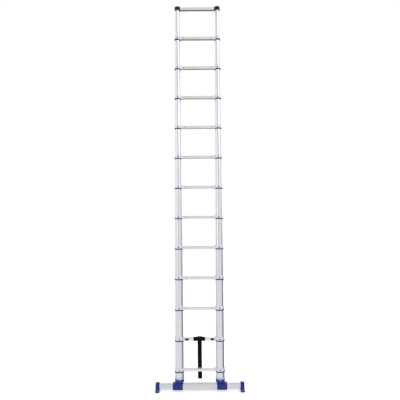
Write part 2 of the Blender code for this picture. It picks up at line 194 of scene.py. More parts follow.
def carrier_radius(section):
    """Radius of the collar, or of the cap on the last section."""
    if section < LAST:
        return tube_radius(section) + COLLAR_PROUD
    low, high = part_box("right_top_cap")
    return (high.y - low.y) / 2 / CAD_FLAT


def rung_z(section):
    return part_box(f"rung_{section:02d}")[0].z


def rung_end(section):
    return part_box(f"rung_{section:02d}")[1].x


def middle_of(node):
    """Middle (x, z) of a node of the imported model."""
    low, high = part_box(node)
    return (low.x + high.x) / 2, (low.z + high.z) / 2


STILE_X = middle_of(f"right_stile_{LAST:02d}")[0]
STRAP_RUNG = (0, 0, rung_z(LATCHED))


# Materials


class Shader:
    """Makes and joins the nodes of a material or a world."""

    def __init__(self, owner):
        owner.use_nodes = True
        self.nodes = owner.node_tree.nodes
        self.links = owner.node_tree.links

    def feed(self, node, inputs):
        """Sets each input that is given a value, and links each one that is given a socket."""
        for key, value in inputs.items():
            if isinstance(value, bpy.types.NodeSocket):
                self.links.new(value, node.inputs[key])
            else:
                node.inputs[key].default_value = value

    def node(self, kind, inputs=None, **settings):
        node = self.nodes.new("ShaderNode" + kind)
        for name, value in settings.items():
            setattr(node, name, value)
        self.feed(node, inputs or {})
        return node

    def math(self, operation, first, second):
        return self.node("Math", {0: first, 1: second}, operation=operation).outputs["Value"]

    def dot(self, first, second):
        inputs = {0: first, 1: second}
        return self.node("VectorMath", inputs, operation="DOT_PRODUCT").outputs["Value"]

    def spread(self, source, low, high, start=0.3, end=0.7, **settings):
        """Brings a texture's middle range to the range from low to high."""
        inputs = {"From Min": start, "From Max": end, "To Min": low, "To Max": high, "Value": source}
        return self.node("MapRange", inputs, **settings).outputs["Result"]

    def fade(self, source, start, end, low=0.0, high=1.0):
        return self.spread(source, low, high, start, end, interpolation_type="SMOOTHSTEP")


class Look(Shader):
    """One material: a Principled shader, and the textures in object space that drive it."""

    def __init__(self, name, roughness, metallic=0.0, specular=0.5):
        self.material = bpy.data.materials.new(name)
        super().__init__(self.material)
        self.shader = self.nodes["Principled BSDF"]
        self.set({"Roughness": roughness, "Metallic": metallic, "Specular IOR Level": specular})
        self.coordinates = self.node("TexCoord").outputs["Object"]
        self.normal = None

    def set(self, inputs):
        self.feed(self.shader, inputs)

    def noise(self, scale, detail, roughness=0.55):
        """Noise with a scale in cells per metre, the same along every axis or one for each."""
        scale = scale if isinstance(scale, tuple) else (scale, scale, scale)
        vector = self.node("Mapping", {"Scale": scale, "Vector": self.coordinates}).outputs["Vector"]
        inputs = {"Scale": 1.0, "Detail": detail, "Roughness": roughness, "Vector": vector}
        return self.node("TexNoise", inputs).outputs["Fac"]

    def wave(self, scale, direction, distortion):
        inputs = {"Scale": scale, "Distortion": distortion, "Vector": self.coordinates}
        texture = self.node("TexWave", inputs, wave_profile="SIN", bands_direction=direction)
        return texture.outputs["Fac"]

    def blend(self, factor, first, second):
        """Mixes two colours, each a tuple or a socket."""
        a, b = [(*side, 1.0) if isinstance(side, tuple) else side for side in (first, second)]
        return self.node("Mix", {"Factor": factor, "A": a, "B": b}, data_type="RGBA").outputs["Result"]

    def upward(self, start, end):
        """1 on faces that point up and 0 on upright ones."""
        normal = self.node("NewGeometry").outputs["Normal"]
        height = self.node("SeparateXYZ", {"Vector": normal}).outputs["Z"]
        return self.spread(height, 0.0, 1.0, start, end)

    def edges(self, radius, start, end):
        """1 on convex and concave edges and 0 on flat faces, from rounded normals."""
        rounded = self.node("Bevel", {"Radius": radius}, samples=4).outputs["Normal"]
        flat = self.node("NewGeometry").outputs["Normal"]
        return self.spread(self.dot(rounded, flat), 1.0, 0.0, start, end)

    def bump(self, height, strength, distance):
        inputs = {"Strength": strength, "Distance": distance, "Height": height}
        if self.normal:
            inputs["Normal"] = self.normal
        self.normal = self.node("Bump", inputs).outputs["Normal"]
        self.set({"Normal": self.normal})


def aluminium(name, along, light, dark, smooth, rough):
    """Extruded aluminium: fine die lines along one axis, soft clouds, and a few faint scuffs."""
    look = Look(name, smooth, 1.0)
    lines = look.noise(tuple(2.2 if axis == along else 900.0 for axis in "XYZ"), 2.0)
    bands = look.noise(tuple(0.8 if axis == along else 160.0 for axis in "XYZ"), 2.0)
    clouds = look.noise((9.0, 9.0, 5.0), 4.0)
    scuffs = look.noise((70.0, 70.0, 260.0), 5.0, 0.7)
    tone = look.math("ADD", look.math("MULTIPLY", lines, 0.35), look.math("MULTIPLY", bands, 0.65))
    colour = look.blend(look.spread(tone, 0.0, 1.0, 0.36, 0.64), dark, light)
    worn = tuple(0.86 * c for c in dark)
    gloss = look.math("ADD", look.math("MULTIPLY", clouds, 0.5), look.math("MULTIPLY", lines, 0.5))
    look.set({
        "Base Color": look.blend(look.spread(scuffs, 0.0, 0.5, 0.62, 0.72), colour, worn),
        "Roughness": look.spread(gloss, smooth, rough, 0.35, 0.65),
    })
    look.bump(lines, 0.10, 0.0002)
    return look.material


def silver_plastic(name, dark, light, worn):
    """Plastic moulded with metal flake, with a paler colour on its edges that is a painted highlight."""
    look = Look(name, 0.34, 0.55)
    flake = look.noise(2600.0, 1.0)
    base = look.blend(look.spread(flake, 0.0, 1.0), dark, light)
    # Edges get the paler third colour, passed in as worn: a painted highlight along the edges, not wear.
    edge = look.math("MULTIPLY", look.edges(0.0012, 0.86, 0.99), 0.5)
    gloss = look.spread(look.noise(40.0, 4.0), 0.28, 0.42)
    look.set({"Base Color": look.blend(edge, base, worn), "Roughness": gloss})
    look.bump(flake, 0.06, 0.0002)
    return look.material


def moulded_plastic(name, colour, worn, smooth, rough, specular=0.25):
    """Moulded plastic with a spark-eroded grain, faint flow clouds and paler worn edges."""
    look = Look(name, smooth, 0.0, specular)
    fine = look.noise(1400.0, 2.0)
    clouds = look.noise(28.0, 5.0, 0.6)
    darker = tuple(0.82 * c for c in colour)
    lighter = tuple(min(1.0, 1.16 * c + 0.002) for c in colour)
    base = look.blend(look.spread(clouds, 0.0, 1.0), darker, lighter)
    edge = look.math("MULTIPLY", look.edges(0.0010, 0.82, 0.98), look.spread(clouds, 0.15, 0.75))
    look.set({"Base Color": look.blend(edge, base, worn), "Roughness": look.spread(clouds, smooth, rough)})
    look.bump(fine, 0.16, 0.0003)
    return look.material


def webbing(name, colour, highlight, rib, sheen):
    """Woven nylon: ribs across the weave, a finer thread along it, and slightly fuzzy."""
    look = Look(name, 0.78, 0.0, 0.03)
    ribs = look.math("MAXIMUM", look.wave(rib, "Z", 0.3), look.wave(rib, "Y", 0.3))
    weave = look.math("MULTIPLY", ribs, look.wave(rib * 1.4, "X", 0.4))
    fuzz = look.noise(1900.0, 3.0)
    worn = look.spread(look.noise(35.0, 4.0), 0.0, 0.45)
    base = look.blend(look.spread(weave, 0.0, 1.0, 0.15, 0.85), colour, highlight)
    faded = tuple(1.4 * c + 0.0008 for c in highlight)
    look.set({
        "Base Color": look.blend(worn, base, faded),
        "Roughness": look.spread(fuzz, 0.66, 0.86),
        "Sheen Weight": sheen,
        "Sheen Roughness": 0.45,
    })
    look.bump(weave, 0.55, 0.0005)
    look.bump(fuzz, 0.25, 0.0003)
    return look.material


def rubber(name, colour, dust_and_highlight_colour):
    """Rubber with a matt grain, random paler patches, and a paler colour on whatever faces up: dust on the
    dark sole, and a painted highlight on the instep's toe ramps.
    """
    look = Look(name, 0.7, 0.0, 0.35)
    grain = look.noise(700.0, 4.0, 0.65)
    dust = look.noise((45.0, 45.0, 90.0), 5.0, 0.65)
    patches = look.spread(dust, 0.0, 0.5, 0.45, 0.75)
    # Faces that point up take the paler colour: dust on the dark sole, a painted highlight on the instep's
    # upward toe ramps.
    dust_and_top_highlight = look.math("MULTIPLY", look.upward(0.25, 0.85), look.spread(dust, 0.75, 1.0))
    dust_and_highlight_cover = look.math("MAXIMUM", patches, dust_and_top_highlight)
    look.set({"Base Color": look.blend(dust_and_highlight_cover, colour, dust_and_highlight_colour), "Roughness": look.spread(dust, 0.58, 0.86)})
    look.bump(grain, 0.3, 0.0004)
    return look.material


def zinc_steel(name, dark, light):
    """Plated steel with faint spangle."""
    look = Look(name, 0.28, 1.0)
    spangle = look.noise(420.0, 3.0)
    tone = look.spread(look.noise(90.0, 4.0), 0.0, 1.0)
    look.set({"Base Color": look.blend(tone, dark, light), "Roughness": look.spread(spangle, 0.22, 0.42)})
    look.bump(spangle, 0.05, 0.0002)
    return look.material


LOOKS = {
    "tube": aluminium("extruded_tube", "Z", (0.72, 0.72, 0.76), (0.66, 0.665, 0.70), 0.26, 0.36),
    "rung": aluminium("extruded_rung", "X", (0.82, 0.796, 0.810), (0.74, 0.718, 0.730), 0.32, 0.46),
    "bar": aluminium("extruded_bar", "X", (0.70, 0.705, 0.730), (0.62, 0.625, 0.650), 0.32, 0.46),
    # The silver plastic's third colour is its painted edge highlight.
    "silver": silver_plastic("silver_plastic", (0.60, 0.60, 0.69), (0.74, 0.74, 0.84), (0.88, 0.88, 0.90)),
    "blue": moulded_plastic("blue_plastic", (0.009, 0.022, 0.19), (0.03, 0.06, 0.30), 0.36, 0.50),
    "ring": moulded_plastic("ring_plastic", (0.008, 0.007, 0.060), (0.02, 0.02, 0.12), 0.45, 0.60, 0.12),
    "navy": moulded_plastic("navy_plastic", (0.007, 0.007, 0.035), (0.02, 0.025, 0.09), 0.34, 0.48),
    # The pale blue of the socket rim is a painted highlight along the top of the socket.
    "pale": moulded_plastic("pale_rim_painted_highlight", (0.37, 0.40, 0.56), (0.55, 0.57, 0.68), 0.36, 0.50),
    "plug": moulded_plastic("plug_plastic", (0.008, 0.006, 0.014), (0.02, 0.02, 0.03), 0.55, 0.65),
    "black": moulded_plastic("black_plastic", (0.006, 0.006, 0.008), (0.03, 0.03, 0.035), 0.34, 0.48),
    # The instep's paler blue on faces that point up is a painted highlight on its toe ramps.
    "instep": rubber("pale_rubber", (0.030, 0.040, 0.085), (0.115, 0.145, 0.28)),
    "rubber": rubber("dark_rubber", (0.012, 0.012, 0.026), (0.05, 0.05, 0.08)),
    "steel": zinc_steel("zinc_steel", (0.50, 0.50, 0.50), (0.70, 0.70, 0.69)),
    "bright": zinc_steel("bright_steel", (0.62, 0.63, 0.66), (0.80, 0.80, 0.82)),
    "rivet": zinc_steel("rivet_steel", (0.07, 0.07, 0.08), (0.13, 0.13, 0.14)),
    "webbing": webbing("nylon_webbing", (0.0025, 0.0025, 0.0040), (0.005, 0.005, 0.007), 620.0, 0.01),
    "cuff": webbing("cuff_fabric", (0.0025, 0.0025, 0.0040), (0.005, 0.005, 0.007), 950.0, 0.01),
    "thread": webbing("stitching_thread", (0.030, 0.030, 0.034), (0.060, 0.060, 0.066), 2400.0, 0.2),
}


# Meshes


def linked(name, data):
    made = bpy.data.objects.new(name, data)
    bpy.context.scene.collection.objects.link(made)
    return made


def new_object(name, bm):
    mesh = bpy.data.meshes.new(name)
    bm.to_mesh(mesh)
    bm.free()
    return linked(name, mesh)


def add_piece(name, bm, look, body, location=(0, 0, 0)):
    """An object from a bmesh, with a look, riding on a body."""
    bmesh.ops.recalc_face_normals(bm, faces=bm.faces)
    piece = new_object(name, bm)
    piece.location = location
    piece.data.materials.append(LOOKS[look])
    piece.data.shade_smooth()
    piece.data.set_sharp_from_angle(angle=SHARP_ANGLE)
    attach(piece, body)
    return piece


def dress(node, look):
    """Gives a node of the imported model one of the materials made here."""
    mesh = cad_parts[node].data
    mesh.materials.clear()
    mesh.materials.append(LOOKS[look])


def quarter(steps):
    """How far a quarter of a unit circle has left its first tangent, and has yet to go to its last."""
    angles = [math.pi / 2 * i / steps for i in range(steps + 1)]
    return [(1 - math.cos(angle), 1 - math.sin(angle)) for angle in angles]


def round_corners(points, radii, steps=3):
    """A closed outline with an arc in place of each corner."""
    count = len(points)
    outline = []
    for i, corner in enumerate(points):
        here = Vector(corner)
        before = Vector(points[i - 1]) - here
        after = Vector(points[(i + 1) % count]) - here
        setback = radii[i] / math.tan(before.angle(after) / 2)
        setback = min(setback, 0.49 * before.length, 0.49 * after.length)
        start = here + before.normalized() * setback
        end = here + after.normalized() * setback
        for step in range(steps + 1):
            t = step / steps
            outline.append(tuple((1 - t) ** 2 * start + 2 * t * (1 - t) * here + t**2 * end))
    return outline


def loft(rings, closed=False, bm=None):
    """Faces between rings of points that all have the same number of points."""
    bm = bmesh.new() if bm is None else bm
    made = [[bm.verts.new(p) for p in ring] for ring in rings]
    pairs = list(zip(made, made[1:]))
    if closed:
        pairs.append((made[-1], made[0]))
    for ring, following in pairs:
        count = len(ring)
        for i in range(count):
            j = (i + 1) % count
            bm.faces.new((ring[i], ring[j], following[j], following[i]))
    if not closed:
        bm.faces.new(made[0])
        bm.faces.new(made[-1])
    return bm


def circle(radius, height, count=ROUND):
    angles = [2 * math.pi * (i + 0.5) / count for i in range(count)]
    return [(radius * math.cos(a), radius * math.sin(a), height) for a in angles]


def hexagon(apothem, count, reach=math.inf):
    """Points (x, y) of a hexagon, cut back to a reach from its middle."""
    points = []
    for x, y, _ in circle(1.0, 0.0, count):
        facet = (math.atan2(y, x) + math.pi / 6) % (math.pi / 3) - math.pi / 6
        distance = min(apothem / math.cos(facet), reach)
        points.append((distance * x, distance * y))
    return points


def from_corner(radius, top, tenths):
    """Points of a profile from how far in and down they are, in tenths of a millimetre."""
    return [(radius - inward / 1e4, top - down / 1e4) for inward, down in tenths]


def lathed(outline):
    """A ring-shaped solid: a closed outline of (radius, height), turned about Z."""
    return loft([circle(r, z) for r, z in outline], closed=True)


def turned(profile, count=ROUND):
    """A solid of revolution about Z, with a flat end where the profile starts and ends."""
    return loft([circle(r, z, count) for r, z in profile])


def rounded_rectangle(centre, width, height, radius, steps=5):
    """A rectangle's outline with true arcs at its corners."""
    u, v = centre
    radius = min(radius, width / 2 - 1e-5, height / 2 - 1e-5)
    right, top = u + width / 2 - radius, v + height / 2 - radius
    left, bottom = u - width / 2 + radius, v - height / 2 + radius
    outline = []
    for turn, (cu, cv) in enumerate(((right, top), (left, top), (left, bottom), (right, bottom))):
        for step in range(steps + 1):
            angle = math.pi / 2 * (turn + step / steps)
            outline.append((cu + radius * math.cos(angle), cv + radius * math.sin(angle)))
    return outline


def stand(outline, axis, at):
    """Points of a flat outline standing across an axis: X takes (y, z), Y (x, z) and Z (x, y)."""
    if axis == "X":
        return [(at, u, v) for u, v in outline]
    if axis == "Y":
        return [(u, at, v) for u, v in outline]
    return [(u, v, at) for u, v in outline]


def eased(outline, axis, start, end, edge):
    """A solid along an axis with rounded ends; outline(inset) gives its shape in from its edges."""
    rings = []
    for at, inward in ((start, 1), (end, -1)):
        turns = [stand(outline(edge * b), axis, at + inward * edge * a) for a, b in quarter(3)]
        rings += turns[::inward]
    return loft(rings)


def slab(centre, width, height, corner, axis, start, end, edge):
    """A rounded rectangle drawn out along an axis, with its edges at both ends rounded too."""

    def outline(inset):
        inner = max(corner - inset, 1e-4)
        return rounded_rectangle(centre, width - 2 * inset, height - 2 * inset, inner)

    return eased(outline, axis, start, end, edge)


def hollow_bar(outline, wall, half_length, edge):
    """A tube along X with eased ends; outline(grow) gives its shape, grown by an amount."""
    outer, end, inner = outline(0.0), outline(-edge), outline(-wall)
    runs = [(end, -half_length), (outer, edge - half_length), (outer, half_length - edge)]
    runs += [(end, half_length), (inner, half_length), (inner, -half_length)]
    return loft([stand(ring, "X", x) for ring, x in runs], closed=True)


def block(low, high):
    outline = [(low[0], low[1]), (high[0], low[1]), (high[0], high[1]), (low[0], high[1])]
    return loft([stand(outline, "Z", low[2]), stand(outline, "Z", high[2])])


def turned_to(bm, axis, place=(0, 0, 0)):
    """Turns what was made about Z so that its +Z points along a direction, and moves it."""
    rotation = Vector((0, 0, 1)).rotation_difference(Vector(axis))
    bmesh.ops.transform(bm, matrix=rotation.to_matrix().to_4x4(), verts=bm.verts)
    bmesh.ops.translate(bm, verts=bm.verts, vec=place)
    return bm


def mirrored(bm, side):
    """The mesh as built for the right side, or its mirror image for the left."""
    if side < 0:
        bmesh.ops.transform(bm, matrix=Matrix.Diagonal((-1, 1, 1, 1)), verts=bm.verts)
        bmesh.ops.reverse_faces(bm, faces=bm.faces)
    return bm


def joined(shapes):
    """Several separate shapes as one bmesh."""
    first = shapes[0]
    for other in shapes[1:]:
        mesh = bpy.data.meshes.new("part")
        other.to_mesh(mesh)
        other.free()
        first.from_mesh(mesh)
        bpy.data.meshes.remove(mesh)
    return first


def boolean(bm, other, operation):
    """The exact union or difference of two bmeshes, as a new bmesh."""
    objects = []
    for shape in (bm, other):
        bmesh.ops.recalc_face_normals(shape, faces=shape.faces)
        objects.append(new_object("operand", shape))
    modifier = objects[0].modifiers.new("boolean", "BOOLEAN")
    modifier.operation = operation
    modifier.solver = "EXACT"
    modifier.object = objects[1]
    result = bmesh.new()
    result.from_object(objects[0], bpy.context.evaluated_depsgraph_get())
    for operand in objects:
        mesh = operand.data
        bpy.data.objects.remove(operand)
        bpy.data.meshes.remove(mesh)
    return result


def united(bm, other):
    return boolean(bm, other, "UNION")


def carved(bm, other):
    return boolean(bm, other, "DIFFERENCE")


# Sections


def tube_outline(section):
    """Wall of a tube, with a rolled bead on the sections that have one."""
    radius = tube_radius(section)
    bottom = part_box(f"right_stile_{section:02d}")[0].z - rung_z(section)
    top = CAP_TOP - CAP_ROOF - TUBE_EDGE if section == LAST else TUBE_TOP
    outline = [(radius - TUBE_WALL, top), (radius - TUBE_WALL, bottom)]
    outline += [(radius - TUBE_EDGE, bottom), (radius, bottom + 0.0006)]
    if section in BEAD_SECTIONS:
        middle = -(BEAD_DROP + BEAD_DROP_STEP * (section - BEAD_SECTIONS[0]))
        for i in range(-5, 6):
            depth = BEAD_DEPTH * (1 + math.cos(math.pi * i / 4)) / 2 if abs(i) < 4 else 0.0
            outline.append((radius - depth, middle + BEAD_HALF * i / 4))
    outline += [(radius, top - 0.0006), (radius - TUBE_EDGE, top)]
    return outline


def rung_outline(grow):
    """Cross-section (y, z) of a rung, with ridges along the outside of its tread."""
    groove = TREAD_GROOVE if grow > -RUNG_WALL else 0.0
    depth, height = RUNG_DEPTH + 2 * grow, RUNG_HEIGHT + 2 * grow
    plain = rounded_rectangle((0.0, RUNG_HEIGHT / 2), depth, height, RUNG_CORNER + grow, 6)
    first_left = 7
    pitch = 2 * TREAD_HALF / TREAD_RIDGES
    ridges = []
    for i in range(TREAD_RIDGES):
        start = TREAD_HALF - i * pitch
        for share, deep in ((0.0, 0), (0.12, 1), (0.34, 1), (0.46, 0)):
            ridges.append((start - share * pitch, RUNG_HEIGHT + grow - deep * groove))
    return plain[:first_left] + ridges + plain[first_left:]


def rung_boss(section, low, top, cup):
    """Boss from the carrier's wall to the cup that holds the rung's end.

    Its rungward direction is -X. The last rings go back into the cup, to the boss's own face.
    """
    face = rung_end(section) + CLEAR - STILE_X
    mouth = face - cup
    centre = (0.0, (low + top) / 2)
    half_flat = BOSS_DEPTH / 2 - BOSS_CORNER
    root = -((carrier_radius(section) ** 2 - half_flat**2) ** 0.5) + BOSS_ROOT
    rings = [stand(rounded_rectangle(centre, BOSS_DEPTH, top - low, BOSS_CORNER), "X", root)]
    for a, b in quarter(3):
        inset = BOSS_EDGE * a
        size = BOSS_DEPTH - 2 * inset, top - low - 2 * inset
        outline = rounded_rectangle(centre, *size, BOSS_CORNER - inset)
        rings.append(stand(outline, "X", mouth + BOSS_EDGE * b))
    size = RUNG_DEPTH + 2 * CUP_GAP, RUNG_HEIGHT + 2 * CUP_GAP
    pocket = rounded_rectangle((0.0, RUNG_HEIGHT / 2), *size, RUNG_CORNER + CUP_GAP)
    return loft(rings + [stand(pocket, "X", mouth), stand(pocket, "X", face + 0.0001)])


def collar_mesh(section):
    """Silver collar with its boss."""
    radius = tube_radius(section)
    outer = radius + COLLAR_PROUD
    lip = radius - WIPER
    bottom = RING_BOTTOM + RING_HEIGHT + CLEAR
    outline = [(radius + CLEAR, bottom), (outer - 0.0004, bottom), (outer, bottom + 0.0004)]
    for up, deep in ((0.0, 0), (0.0004, 1), (0.0009, 1), (0.0013, 0)):
        outline.append((outer - deep * COLLAR_GROOVE, COLLAR_GROOVE_Z + up))
    outline += [(outer - COLLAR_CROWN * a, COLLAR_TOP - COLLAR_CROWN * b) for a, b in quarter(4)]
    outline += [(lip + 0.0005, COLLAR_TOP), (lip, COLLAR_TOP - 0.0005)]
    outline += [(lip, TUBE_TOP + CLEAR), (radius + CLEAR, TUBE_TOP + CLEAR)]
    inside = turned([(outer - COLLAR_WALL, -0.05), (outer - COLLAR_WALL, 0.08)])
    return united(lathed(outline), carved(rung_boss(section, BOSS_LOW, BOSS_TOP, CUP_REACH), inside))


def ring_mesh(section):
    """Navy ring pressed on the tube under the collar, notched for the boss."""
    inner = tube_radius(section) + CLEAR
    outer = tube_radius(section) + RING_PROUD
    top = RING_BOTTOM + RING_HEIGHT
    corners = [(inner, RING_BOTTOM), (outer, RING_BOTTOM), (outer, top), (inner, top)]
    half = BOSS_DEPTH / 2 + CLEAR
    notch = block((-0.1, -half, BOSS_LOW - CLEAR), (0.0, half, 0.05))
    return carved(lathed(round_corners(corners, RING_CORNERS)), notch)


def screw_mesh(radius, sides=24):
    """Domed head with a hexagon recess, facing -Y, with its seat at the origin."""
    recess = hexagon(radius * 0.42, sides)
    rings = [circle(radius, -0.0015, sides)]
    for a, b in quarter(4)[:4]:
        rings.append(circle(radius * (1 - 0.28 * a), 0.0002 + 0.0008 * (1 - b), sides))
    rings += [circle(radius * 0.62, 0.0011, sides), stand(recess, "Z", 0.0011)]
    rings.append([(0.92 * x, 0.92 * y, 0.0001) for x, y in recess])
    return turned_to(loft(rings), (0, -1, 0))


def plug_mesh(radius):
    """Flat plug pushed into the collar, with a bevelled edge and a slot, facing -Y."""
    profile = [(radius, -0.0015), (radius, 0.0004), (radius * 0.97, 0.0007), (radius * 0.90, 0.0009)]
    slot = slab((0.0, 0.0), radius * 1.1, 0.0010, 0.0004, "Z", 0.0004, 0.002, 0.0001)
    return turned_to(carved(turned(profile, 32), slot), (0, -1, 0))


def with_latch_slots(bm):
    """Slots in the front of the rung for the two sliders to run in."""
    for side_name, side in SIDES.items():
        middle = middle_of(f"{side_name}_release_button")[0] - side * LATCH_TRAVEL / 2
        centre = (middle, RUNG_HEIGHT / 2)
        length = LATCH_TRAVEL + 2 * SLOT_END
        face = -RUNG_DEPTH / 2
        slot = slab(centre, length, SLOT_HEIGHT, 0.0008, "Y", face - 0.004, face + 0.004, 0.0002)
        bm = carved(bm, slot)
    return bm


def cap_mesh():
    """Cap with a stepped dome, and the boss for the last rung."""
    radius = carrier_radius(LAST) + CAP_PROUD
    shoulder = CAP_TOP - 0.0004
    profile = [(radius - 0.0006, CAP_BOTTOM), (radius, CAP_BOTTOM + 0.0006)]
    profile.append((radius, CAP_TOP - CAP_CROWN))
    profile += [(radius - CAP_CROWN * a, shoulder - CAP_CROWN * b) for a, b in quarter(6)[1:]]
    profile += from_corner(radius, CAP_TOP, ((85, 4), (92, 12), (102, 12), (110, 2), (120, 0)))
    profile += [(0.004, CAP_TOP), (0.0032, CAP_TOP - 0.0008), (0.0008, CAP_TOP - 0.0008)]
    solid = united(turned(profile), rung_boss(LAST, CAP_BOTTOM + 0.0002, BOSS_TOP, CAP_CUP))
    bore = tube_radius(LAST) + FIT
    return carved(solid, turned([(bore, CAP_BOTTOM - 0.01), (bore, CAP_TOP - CAP_ROOF)]))


def add_section(section):
    """A section's two tubes, with what each carries, and its rung."""
    body = "base" if section <= FIXED else f"section_{section}"
    z = rung_z(section)
    for side_name, side in SIDES.items():
        stile = (side * STILE_X, 0, z)

        def add(kind, bm, look, place=stile):
            return add_piece(f"{side_name}_{kind}_{section:02d}", bm, look, body, place)

        tube = add("tube", lathed(tube_outline(section)), "tube")
        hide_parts(f"{side_name}_stile_{section:02d}")
        if section == LAST:
            cap = add_piece(f"{side_name}_cap_shell", mirrored(cap_mesh(), side), "navy", body, stile)
            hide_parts(f"{side_name}_top_cap")
            continue
        add("collar", mirrored(collar_mesh(section), side), "silver")
        add("ring", mirrored(ring_mesh(section), side), "ring")
        place = (side * STILE_X, FIT - carrier_radius(section), z + PLUG_Z)
        add("collar_plug", plug_mesh(PLUG_RADIUS), "plug", place)
        if section > LATCHED:
            x = rung_end(section) - RIVET_INSET
            place = (side * x, -RUNG_DEPTH / 2, z + RUNG_HEIGHT / 2)
            add("rung_rivet", screw_mesh(RIVET_RADIUS), "rivet", place)
    rung = hollow_bar(rung_outline, RUNG_WALL, rung_end(section), RUNG_EDGE)
    if section == LATCHED:
        rung = with_latch_slots(rung)
    rung = add_piece(f"rung_extrusion_{section:02d}", rung, "rung", body, (0, 0, z))
    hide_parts(f"rung_{section:02d}")


# Latches


def button_mesh(low, high):
    """Oval button with seven grip grooves, its neck and its slider, centred on the slider."""
    length, height = high.x - low.x, high.z - low.z
    face = low.y
    back = -RUNG_DEPTH / 2 - FIT

    def stadium(inset, y):
        across, up = length - inset, height - inset
        return stand(rounded_rectangle((0.0, 0.0), across, up, up / 2 - 1e-4, 10), "Y", y)

    rings = [stadium(0.001, back), stadium(0.0, back - 0.0005)]
    rings += [stadium(0.0028 * a, face + BUTTON_CROWN * b) for a, b in quarter(4)]
    grooves = []
    for i in range(-3, 4):
        place = (i * GRIP_PITCH, 0.0)
        grooves.append(slab(place, 0.0014, height * 0.62, 0.0006, "Y", face - 0.002, face + 0.0009, 0.0002))
    button = carved(loft(rings), joined(grooves))
    neck = block((-0.006, back - 0.0005, -0.0034), (0.006, -0.0105, 0.0034))
    slider = slab((0.0, 0.0), 0.0119, 0.0129, 0.001, "Y", -0.0178, 0.0064, 0.0004)
    return united(button, united(neck, slider))


def add_button(side_name):
    node = f"{side_name}_release_button"
    x, z = middle_of(node)
    mesh = button_mesh(*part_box(node))
    button = add_piece(f"{side_name}_button", mesh, "black", f"{side_name}_latch", (x, 0, z))
    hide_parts(node)
    for name in (f"{side_name}_lock_pin", f"{side_name}_pin_spring"):
        dress(name, "steel")


# Strap and cuff


def loop_runs(grow):
    """The rung's outline grown by an amount, from the middle of its top over to the front.

    A straight run has its length, start (y, z), direction and outward normal. An arc has its
    length, centre, first angle in degrees and None.
    """
    corner = RUNG_CORNER + grow
    flat_y = RUNG_DEPTH / 2 + grow - corner
    up = RUNG_HEIGHT / 2 + grow
    half, flat_z = flat_y + corner, up - corner
    arc = math.pi / 2 * corner
    return [
        (flat_y, (0, up), (-1, 0), (0, 1)),
        (arc, (-flat_y, flat_z), 90, None),
        (2 * flat_z, (-half, flat_z), (0, -1), (-1, 0)),
        (arc, (-flat_y, -flat_z), 180, None),
        (2 * flat_y, (-flat_y, -up), (1, 0), (0, -1)),
        (arc, (flat_y, -flat_z), 270, None),
        (2 * flat_z, (half, -flat_z), (0, 1), (1, 0)),
        (arc, (flat_y, flat_z), 0, None),
        (flat_y, (flat_y, up), (-1, 0), (0, 1)),
    ]


def loop_length(grow):
    return sum(run[0] for run in loop_runs(grow))


def loop_point(distance, grow):
    """Point (y, z) and outward normal at a distance along the grown outline."""
    distance = distance % loop_length(grow)
    for length, start, direction, normal in loop_runs(grow):
        if distance <= length:
            break
        distance -= length
    reach = distance
    if not normal:
        angle = math.radians(direction) + distance / (RUNG_CORNER + grow)
        normal = direction = (math.cos(angle), math.sin(angle))
        reach = RUNG_CORNER + grow
    y, z = start[0] + direction[0] * reach, start[1] + direction[1] * reach
    return (y, z + RUNG_HEIGHT / 2), normal


def strap_path(inner, end_z):
    """Centre line (y, z) of the webbing, from its inner end on top of the rung to the tail's end."""
    pitch = WEBBING + 0.00025
    grow = inner + WEBBING / 2
    total = loop_length(grow)
    start, overlap = -0.012, 0.0135
    run = total + overlap - start
    count = int(run / 0.0016)
    points = []
    for i in range(count + 1):
        distance = start + run * i / count
        climb = min(1.0, max(0.0, (distance - (total - 0.034)) / 0.022))
        climb = climb * climb * (3 - 2 * climb)
        points.append(loop_point(distance, grow + pitch * climb)[0])
    fold_y, fold_z = points[-1]
    radius = pitch * 0.62
    for i in range(1, 7):
        angle = -math.pi / 2 + math.pi * i / 7
        points.append((fold_y - radius * math.cos(angle), fold_z + radius * (1 + math.sin(angle))))
    span = RUNG_DEPTH / 2 - RUNG_CORNER - fold_y
    for i in range(1, 15):
        t = i / 14
        crown = 0.0011 * math.sin(math.pi * t) * (1 - 0.3 * t)
        points.append((fold_y + span * t, fold_z + 2 * radius + crown))
    y, z = points[-1]
    tail_y = RUNG_DEPTH / 2 + grow + 2.1 * pitch - pitch * 0.55
    points += [(y + (tail_y - y) * (1 - b), z - 0.0125 * a) for a, b in quarter(9)[1:]]
    y, z = points[-1]
    fall = z - end_z
    count = int(fall / 0.004)
    for i in range(1, count + 1):
        t = i / count
        points.append((y - 0.0006 * math.sin(math.pi * t), z - fall * t))
    return points


def add_strap():
    """Webbing wound once round the cuff, folded on top, with its tail hanging down behind."""
    path = strap_path(CUFF_GAP + CUFF_THICK + 0.0004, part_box("strap")[0].z - STRAP_RUNG[2])
    points = [Vector(p) for p in path]
    length = sum((b - a).length for a, b in zip(points, points[1:]))
    across = [-1 + 2 * i / 16 for i in range(17)]
    tail_start = length * 0.62
    travelled = 0.0
    rings = []
    for before, point, after in zip(points[:1] + points, points, points[1:] + points[-1:]):
        tangent = (after - before).normalized()
        normal = Vector((tangent.y, -tangent.x))
        travelled += (point - before).length
        share = max(0.0, (travelled - tail_start) / (length - tail_start))
        drift = 0.002 * share**1.5
        sway = 0.0011 * math.sin(3.4 * math.pi * share) * share
        half = STRAP_WIDTH / 2 * (1 - 0.004 * math.cos(travelled * 90))
        ring = []
        for layer in (1, -1):
            for u in across[::layer]:
                offset = normal * (layer * WEBBING / 2 * (1 - 0.45 * abs(u) ** 8))
                cupped = 0.0006 * share * (u * u - 0.4)
                ring.append((u * half + drift, point.x + offset.x + sway + cupped, point.y + offset.y))
        rings.append(ring)
    strap = add_piece("strap_webbing", loft(rings), "webbing", "base", STRAP_RUNG)
    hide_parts("strap")
    stitches = add_stitching(path)


